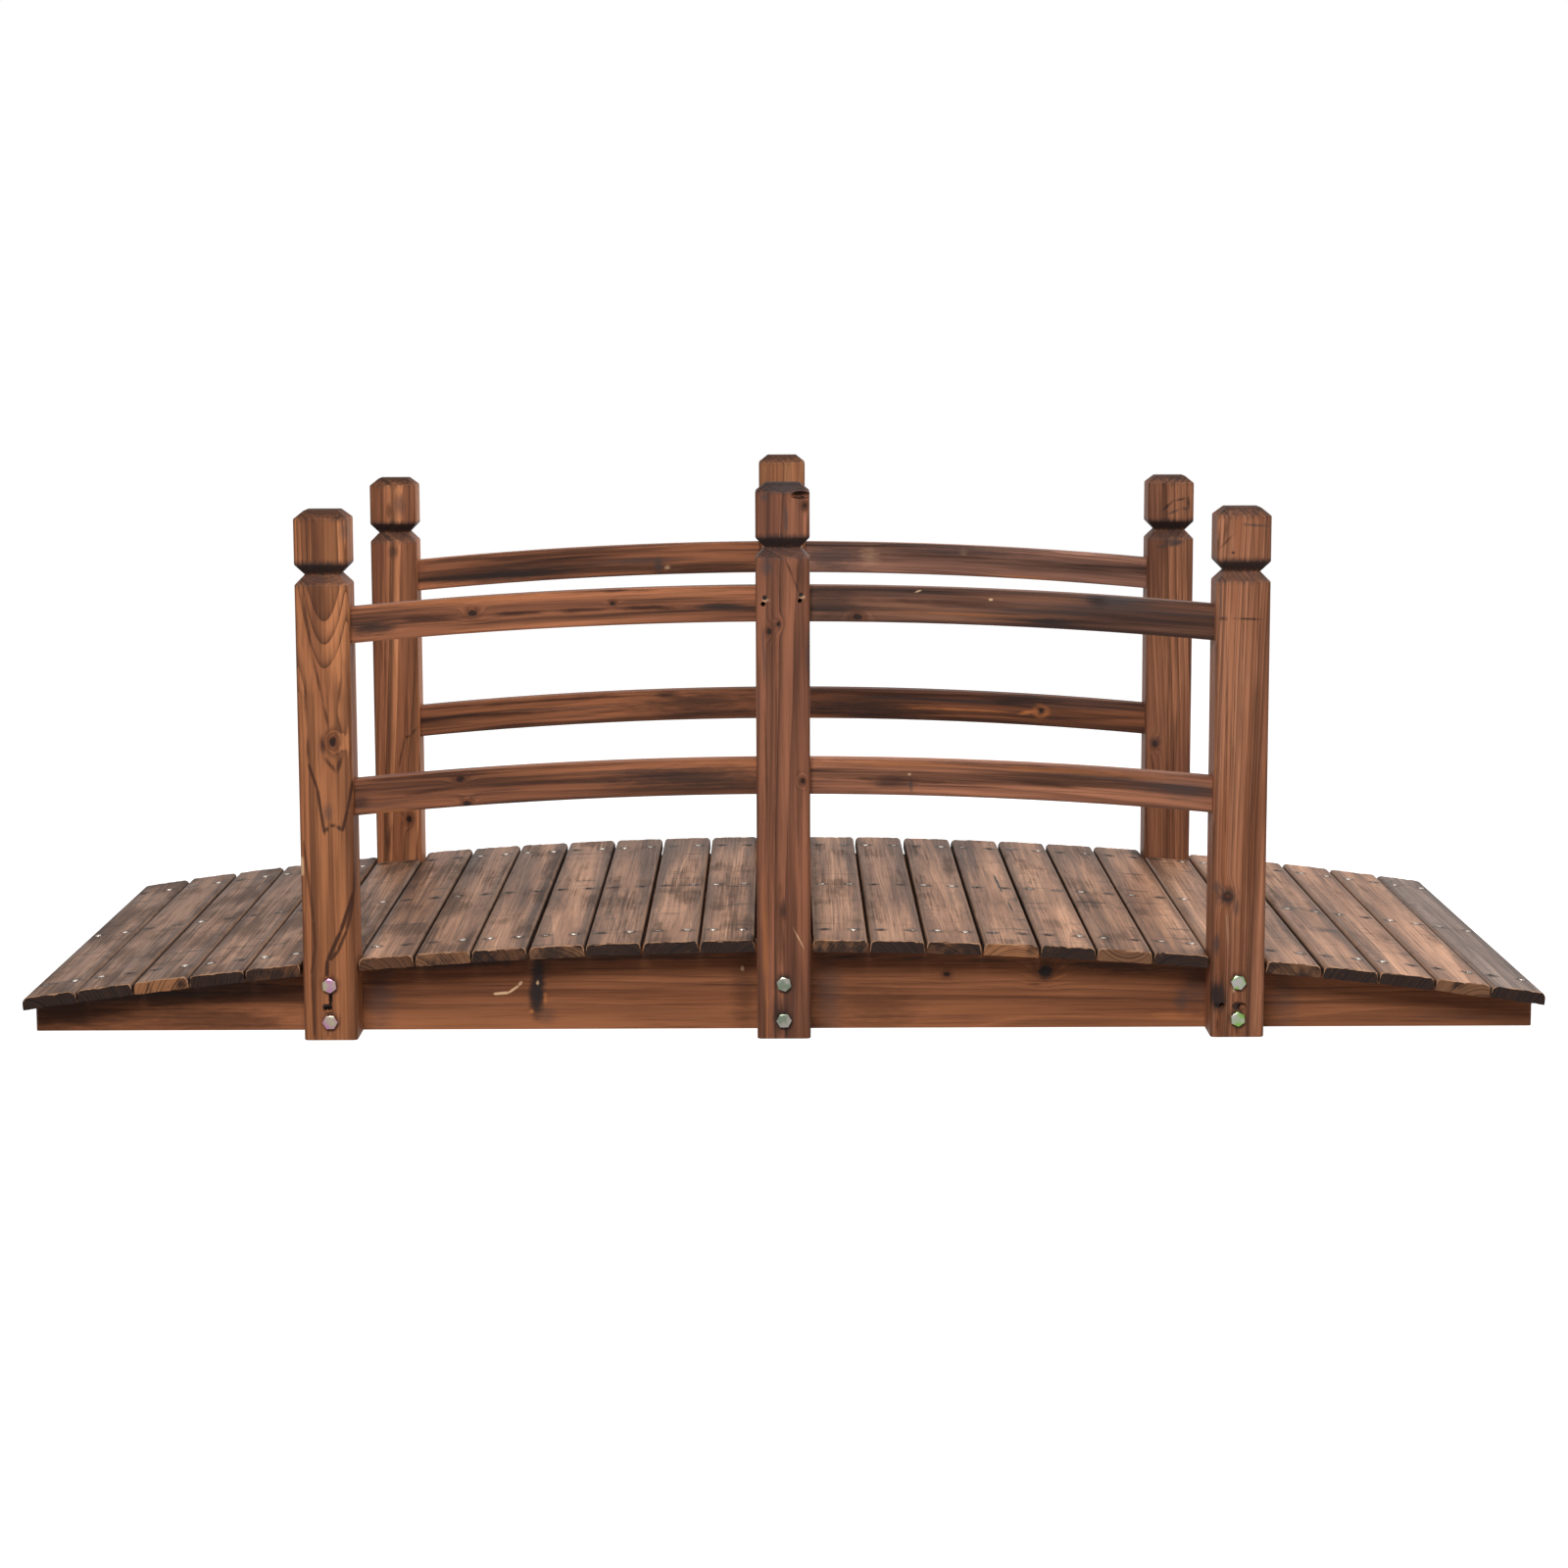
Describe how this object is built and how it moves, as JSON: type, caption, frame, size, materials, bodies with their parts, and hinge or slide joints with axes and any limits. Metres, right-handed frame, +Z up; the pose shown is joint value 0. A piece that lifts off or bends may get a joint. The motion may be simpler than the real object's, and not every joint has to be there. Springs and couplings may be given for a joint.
{
  "type": "garden bridge",
  "caption": "Low arched timber footbridge: planks nailed across arched beams, with bolted posts that end in notched caps and curved double handrails on both sides.",
  "frame": {"origin": "on the ground under the middle of the deck, centred between the two railings", "axes": "+X along the deck from the left end to the right end, +Y across the deck from the front railing to the rear one, +Z up"},
  "size_m": [1.4996, 0.67, 0.5445],
  "materials": {
    "post_fir": "scorched fir, reddish brown with dark growth rings, satin stain",
    "rail_fir": "scorched fir, dark brown along the grain, satin stain",
    "beam_fir": "scorched fir, smooth reddish brown with dark knots, satin stain",
    "plank_fir": "scorched fir, greyed brown with dark scorch marks, dull",
    "bolt_zinc": "passivated zinc plate with a faint colour shift",
    "nail_steel": "dull driven nail heads"
  },
  "bodies": {
    "root": {"deck_plank_01": "plank_fir", "deck_plank_02": "plank_fir", "deck_plank_03": "plank_fir", "deck_plank_04": "plank_fir", "deck_plank_05": "plank_fir", "deck_plank_06": "plank_fir", "deck_plank_07": "plank_fir", "deck_plank_08": "plank_fir", "deck_plank_09": "plank_fir", "deck_plank_10": "plank_fir", "deck_plank_11": "plank_fir", "deck_plank_12": "plank_fir", "deck_plank_13": "plank_fir", "deck_plank_14": "plank_fir", "deck_plank_15": "plank_fir", "deck_plank_16": "plank_fir", "deck_plank_17": "plank_fir", "deck_plank_18": "plank_fir", "deck_plank_19": "plank_fir", "deck_plank_20": "plank_fir", "deck_plank_21": "plank_fir", "deck_plank_22": "plank_fir", "deck_plank_23": "plank_fir", "deck_plank_24": "plank_fir", "front_beam": "beam_fir", "front_left_lower_rail": "rail_fir", "front_left_post": "post_fir", "front_left_upper_rail": "rail_fir", "front_middle_post": "post_fir", "front_right_lower_rail": "rail_fir", "front_right_post": "post_fir", "front_right_upper_rail": "rail_fir", "middle_beam": "beam_fir", "rear_beam": "beam_fir", "rear_left_lower_rail": "rail_fir", "rear_left_post": "post_fir", "rear_left_upper_rail": "rail_fir", "rear_middle_post": "post_fir", "rear_right_lower_rail": "rail_fir", "rear_right_post": "post_fir", "rear_right_upper_rail": "rail_fir", "short_plank_left": "plank_fir", "short_plank_middle": "plank_fir", "short_plank_right": "plank_fir"}
  },
  "joints": []
}
